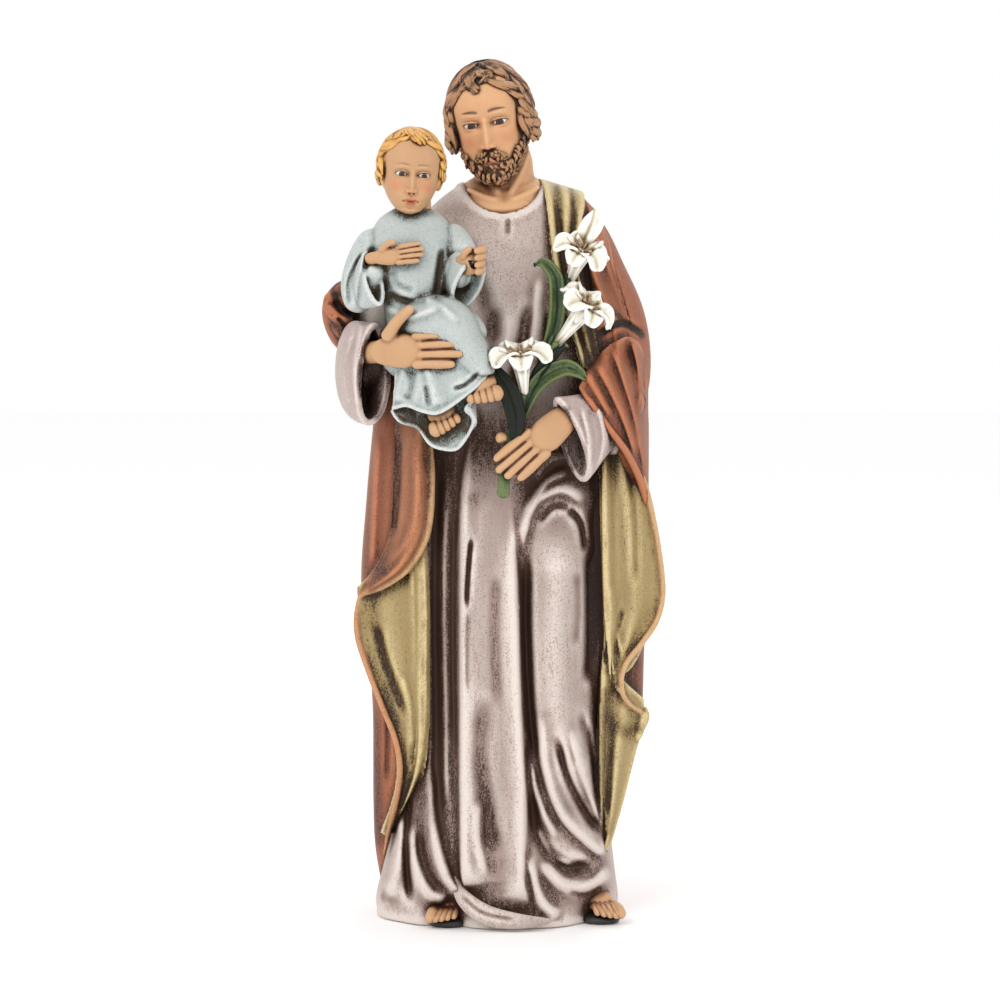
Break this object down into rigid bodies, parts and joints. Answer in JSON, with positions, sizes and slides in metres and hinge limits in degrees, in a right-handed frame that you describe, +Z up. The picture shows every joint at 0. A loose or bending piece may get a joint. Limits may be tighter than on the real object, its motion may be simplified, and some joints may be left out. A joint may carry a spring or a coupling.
{
  "type": "saint joseph statue",
  "caption": "Standing robed saint statue with a child on one arm and a stem of lilies in the other hand, on a flat underside.",
  "frame": {"origin": "middle of the flat underside", "axes": "+Z up along the standing figure, -Y towards the viewer whom the saint faces, +X to the viewer's right"},
  "size_m": [0.1043, 0.0818, 0.2609],
  "materials": {
    "painted_resin": "hand-painted cast resin, dusty mauve tunic, rust mantle with olive-gold lining, pale blue gown, dark wash in the folds"
  },
  "bodies": {
    "root": {"statue": "painted_resin"}
  },
  "joints": []
}
